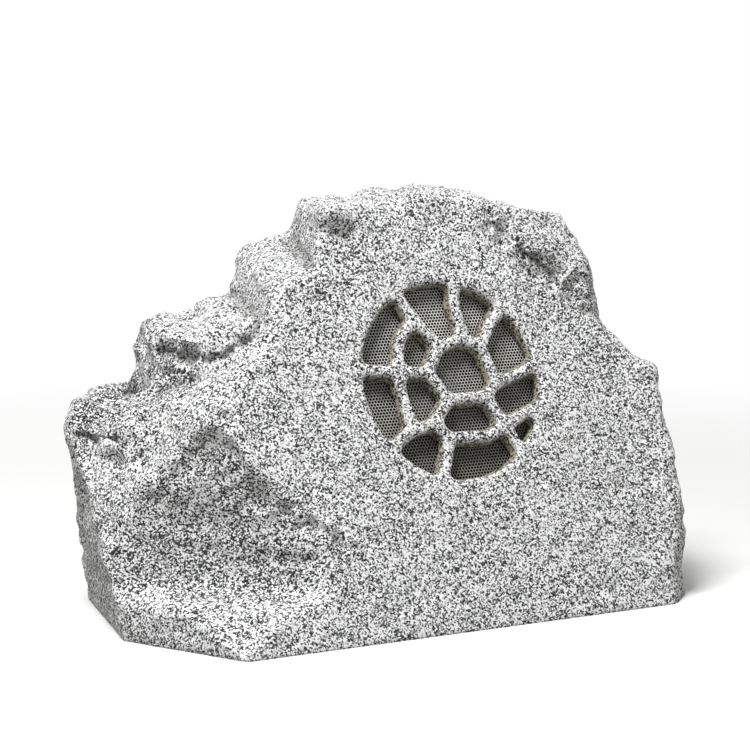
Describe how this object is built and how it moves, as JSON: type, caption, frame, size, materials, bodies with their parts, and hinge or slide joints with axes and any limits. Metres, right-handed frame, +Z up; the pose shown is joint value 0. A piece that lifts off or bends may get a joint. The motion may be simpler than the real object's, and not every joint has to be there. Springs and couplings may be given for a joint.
{
  "type": "rock garden loudspeaker",
  "caption": "Outdoor loudspeaker in a hollow boulder-shaped casing with stepped ledges, a round crazy-paving sound opening over mesh, an inner two-way driver and a cable gland.",
  "frame": {"origin": "middle of the overall box, on the ground under the rim", "axes": "+Z up, the pierced front faces -Y, +X to the right when facing the front"},
  "size_m": [0.4288, 0.2964, 0.2891],
  "materials": {
    "stone_resin": "speckled granite-grey resin with a gritty, faceted stone surface",
    "black_plastic": "satin black moulding",
    "black_nylon": "satin black nylon",
    "black_foam": "closed-cell foam strip",
    "black_rubber": "matt butyl rubber",
    "stainless": "plain stainless",
    "coated_steel": "grey coated perforated sheet",
    "black_steel": "black powder-coated pressing",
    "plated_steel": "zinc-plated steel",
    "ferrite": "dark grey ferrite",
    "cone_plastic": "dark mineral-filled plastic",
    "dome_film": "thin polymer film",
    "amber_cloth": "resin-dipped cloth",
    "former_film": "amber film",
    "copper_wire": "enamelled copper wire",
    "brass": "tinned brass",
    "brown_board": "paper-phenolic sheet",
    "green_board": "glass-epoxy board",
    "green_plastic": "moulded terminal housing",
    "yellow_film": "tape-wrapped film capacitor",
    "white_ceramic": "cement-filled ceramic case"
  },
  "bodies": {
    "enclosure": {"rock_shell": "stone_resin", "base_plate": "black_plastic", "base_seal": "black_foam", "base_screws": "stainless", "grille_mesh": "coated_steel", "driver_gasket": "black_foam", "driver_frame": "black_steel", "driver_screws": "stainless", "cone_surround": "black_rubber", "spider": "amber_cloth", "top_plate": "plated_steel", "driver_magnet": "ferrite", "pole_yoke": "plated_steel", "tweeter_post": "black_plastic", "tweeter_cup": "black_plastic", "tweeter_magnet": "plated_steel", "tweeter_dome": "dome_film", "tweeter_faceplate": "black_plastic", "terminal_tag": "brown_board", "terminal_lugs": "brass", "crossover_board": "green_board", "board_screws": "stainless", "inductor_bobbin": "black_plastic", "inductor_winding": "copper_wire", "capacitor": "yellow_film", "resistor": "white_ceramic", "input_terminal": "green_plastic", "gland_washer": "black_rubber", "gland_body": "black_nylon", "gland_locknut": "black_nylon", "gland_bush": "black_rubber", "gland_cap": "black_nylon"},
    "cone": {"woofer_cone": "cone_plastic", "coil_former": "former_film", "voice_coil": "copper_wire"}
  },
  "joints": [
    {"name": "cone_travel", "type": "slide", "parent": "enclosure", "child": "cone", "axis": [0, -0.9304, 0.3665], "range_m": [-0.003, 0.003], "stiffness_N_per_m": 1500, "deforming": ["cone_surround", "spider"]}
  ]
}
